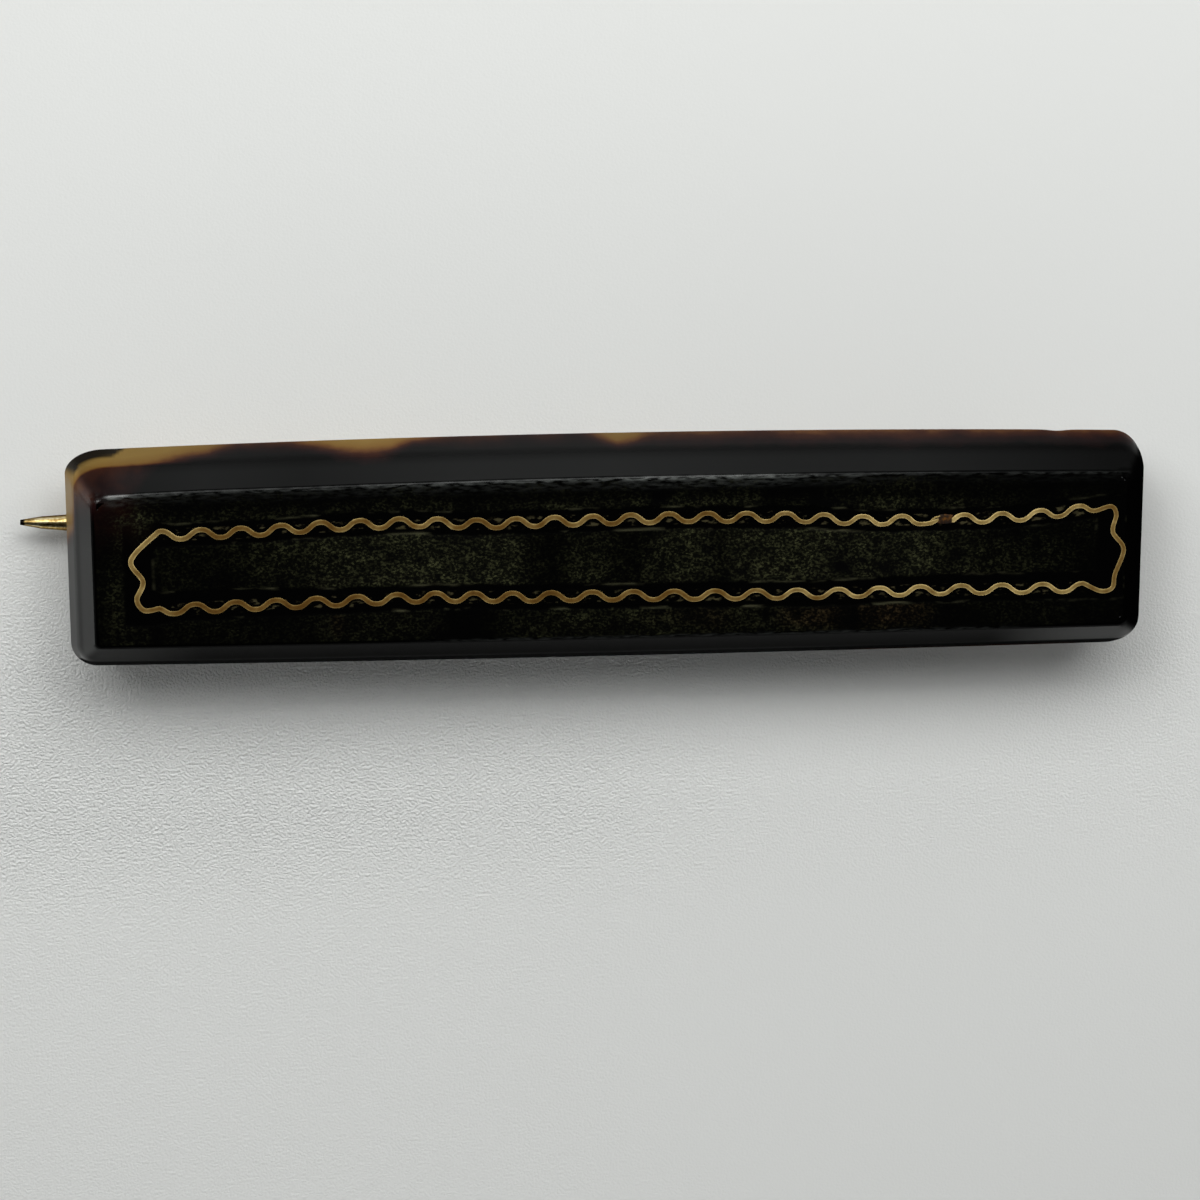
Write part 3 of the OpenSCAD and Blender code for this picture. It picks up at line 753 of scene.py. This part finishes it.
# Joint filler
# A dab of brown resin that fills the groove where the wire's two ends don't meet, scraped level with
# the face while it was soft. Old resin gives the eye a dull, lumpy brown.
filler, tree, shader = material("brown_resin")
spot = add(tree, "ShaderNodeTexCoord").outputs["Object"]
streaks = add(tree, "ShaderNodeTexNoise", inputs={"Vector": spot, "Scale": per_mm(0.25), "Detail": 3})
resin_shade = add(tree, "ShaderNodeValToRGB", inputs={"Fac": streaks}, ramp=[
    (0.35, colour("#150a04")), (0.52, colour("#2c1906")), (0.7, colour("#5e390c"))])
crumbs = add(tree, "ShaderNodeTexNoise", inputs={"Vector": spot, "Scale": per_mm(0.15), "Detail": 3})
lumpy = add(tree, "ShaderNodeBump", inputs={"Height": crumbs, "Strength": 0.6, "Distance": 0.03 * MM})
feed(tree, shader, {"Base Color": resin_shade, "Roughness": 0.7, "Specular IOR Level": 0.2,
                    "Normal": lumpy})

patch = [(17.96, 1.66), (18.3, 1.59), (18.65, 1.6), (18.9, 1.63), (18.98, 1.85), (18.9, 2.08), (18.5, 2.13),
         (18.15, 2.11), (18, 1.98)]
patch_mid = (18.47, 1.86)
patch_depth = 0.13
# The resin's edge has shrunk below the face, and its middle still stands a hair above
patch_sunk = 0.02
patch_rise = 0.03
patch_rings = 5
dab_points = []
for k in range(patch_rings):
    share = 1 - k / patch_rings
    rise = patch_rise * (1 - share ** 4) - patch_sunk
    dab_points += [((patch_mid[0] + (px - patch_mid[0]) * share + mid_x) * MM,
                    (patch_mid[1] + (py - patch_mid[1]) * share) * MM,
                    (top_z + rise) * MM) for px, py in patch]
dab_points += [((px + mid_x) * MM, py * MM, (top_z - patch_depth) * MM) for px, py in patch]
dab_points.append(((patch_mid[0] + mid_x) * MM, patch_mid[1] * MM, (top_z + patch_rise - patch_sunk) * MM))
n = len(patch)
dab_faces = [(k * n + i, k * n + (i + 1) % n, (k + 1) * n + (i + 1) % n, (k + 1) * n + i)
             for k in range(patch_rings - 1) for i in range(n)]
last_ring = (patch_rings - 1) * n
dab_faces += [(last_ring + i, last_ring + (i + 1) % n, len(dab_points) - 1) for i in range(n)]
dab_faces += [(patch_rings * n + i, patch_rings * n + (i + 1) % n, (i + 1) % n, i) for i in range(n)]
dab_faces.append(tuple(patch_rings * n + i for i in reversed(range(n))))
dab_data = bpy.data.meshes.new("joint_filler_piece")
dab_data.from_pydata(dab_points, [], dab_faces)
dab_data.materials.append(filler)
dab = bpy.data.objects.new("joint_filler_piece", dab_data)
bpy.context.scene.collection.objects.link(dab)
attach(dab, "bar")
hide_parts("joint_filler")

# Hinge, pivot and catch
# Plain brass fittings behind the bar: sheet leaves with soldered knuckles and a bent hook. They are
# dull and brown with age, and their edges are broken with a file.
aged_brass, tree, shader = material("aged_brass")
spot = add(tree, "ShaderNodeTexCoord").outputs["Object"]
age = add(tree, "ShaderNodeTexNoise", inputs={"Vector": spot, "Scale": per_mm(1.6), "Detail": 4})
brass_shade = add(tree, "ShaderNodeValToRGB", inputs={"Fac": age}, ramp=[
    (0.3, colour("#6b4f2a")), (0.5, colour("#a07c42")), (0.7, colour("#c29a58"))])
dulled = add(tree, "ShaderNodeMath", operation="MULTIPLY_ADD", inputs={0: age, 1: -0.4, 2: 0.65})
stretched = add(tree, "ShaderNodeMapping", inputs={"Vector": spot, "Scale": (0.1, 1, 1)})
strokes = add(tree, "ShaderNodeTexNoise", inputs={"Vector": stretched, "Scale": per_mm(0.1), "Detail": 3})
scratch = add(tree, "ShaderNodeBump", inputs={"Height": strokes, "Strength": 0.3, "Distance": 0.01 * MM})
feed(tree, shader, {"Base Color": brass_shade, "Metallic": 1.0, "Roughness": dulled, "Normal": scratch})


def eased(node, name, body, finish, width):
    """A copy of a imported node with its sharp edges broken, which rides in the node's place."""
    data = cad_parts[node].data.copy()
    data.name = name
    mesh = bmesh.new()
    mesh.from_mesh(data)
    bmesh.ops.remove_doubles(mesh, verts=mesh.verts, dist=0.001 * MM)
    mesh.to_mesh(data)
    mesh.free()
    data.materials.clear()
    data.materials.append(finish)
    made = bpy.data.objects.new(name, data)
    bpy.context.scene.collection.objects.link(made)
    bevel = made.modifiers.new("eased", "BEVEL")
    bevel.width = width * MM
    bevel.segments = 3
    bevel.limit_method = "ANGLE"
    bevel.angle_limit = math.radians(40)
    evaluated = made.evaluated_get(bpy.context.evaluated_depsgraph_get())
    made.modifiers.clear()
    made.data = bpy.data.meshes.new_from_object(evaluated)
    made.data.shade_smooth()
    made.data.set_sharp_from_angle(angle=math.radians(35))
    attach(made, body)
    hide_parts(node)
    return made


fitting_edge = 0.06
for node in ("hinge_leaf", "hinge_pivot", "catch"):
    eased(node, node + "_piece", "bar", aged_brass, fitting_edge)

# Pin
# A drawn brass stem soldered to its eye, filed to a short taper with a blunt blackened tip. Its sides are
# darkened brown as painted shade, which leaves its top bright, and it is brown in the drawn lines along it.
drawn_brass, tree, shader = material("drawn_brass")
spot = add(tree, "ShaderNodeTexCoord").outputs["Object"]
place = add(tree, "ShaderNodeSeparateXYZ", inputs={"Vector": spot})
stretched = add(tree, "ShaderNodeMapping", inputs={"Vector": spot, "Scale": (0.05, 1, 1)})
lines = add(tree, "ShaderNodeTexNoise", inputs={"Vector": stretched, "Scale": per_mm(0.14), "Detail": 3})
dots = add(tree, "ShaderNodeTexNoise", inputs={"Vector": spot, "Scale": per_mm(0.16), "Detail": 3})
dotted = add(tree, "ShaderNodeMath", operation="MULTIPLY_ADD", inputs={0: dots, 1: 0.5, 2: -0.25})
tarnish = add(tree, "ShaderNodeMath", operation="ADD", inputs={0: lines, 1: dotted})
pin_shade = add(tree, "ShaderNodeValToRGB", inputs={"Fac": tarnish}, ramp=[
    (0.3, colour("#6a5230")), (0.46, colour("#b39a62")), (0.64, colour("#ece0b8"))])
# The painted shade comes on in brown down the stem's sides, and the black towards its tip: along which
# axis, from where to where, how strongly at most, and in which colour
pin_low, pin_high = (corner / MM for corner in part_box("pin_stem"))
pin_axis = (pin_low.z + pin_high.z) / 2
# Above the first rise over the axis the stem has no painted shade, and below the second it has all of it
unshaded_rise = 0.36
shaded_rise = 0.12
black_l = 0.2
black_fade = 0.12
for axis, start, stop, most, shade in (
        ("Z", pin_axis + unshaded_rise, pin_axis + shaded_rise, 0.7, "#5c4420"),
        ("X", pin_low.x + black_l + black_fade, pin_low.x + black_l, 1, "#0c0a08")):
    cover = add(tree, "ShaderNodeMapRange", inputs={
        "Value": place.outputs[axis], "From Min": start * MM, "From Max": stop * MM, "To Max": most})
    pin_shade = add(tree, "ShaderNodeMix", data_type="RGBA", inputs={
        "Factor": cover, "A": pin_shade, "B": colour(shade)})
draw_lines = add(tree, "ShaderNodeBump", inputs={"Height": lines, "Strength": 0.5, "Distance": 0.012 * MM})
feed(tree, shader, {"Base Color": pin_shade, "Metallic": 1.0, "Roughness": 0.3,
                    "Specular Tint": colour("#7a5c34"), "Normal": draw_lines})
pin_edge = 0.05
eased("pin_stem", "pin_stem_piece", "pin", drawn_brass, pin_edge)

low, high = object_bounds()
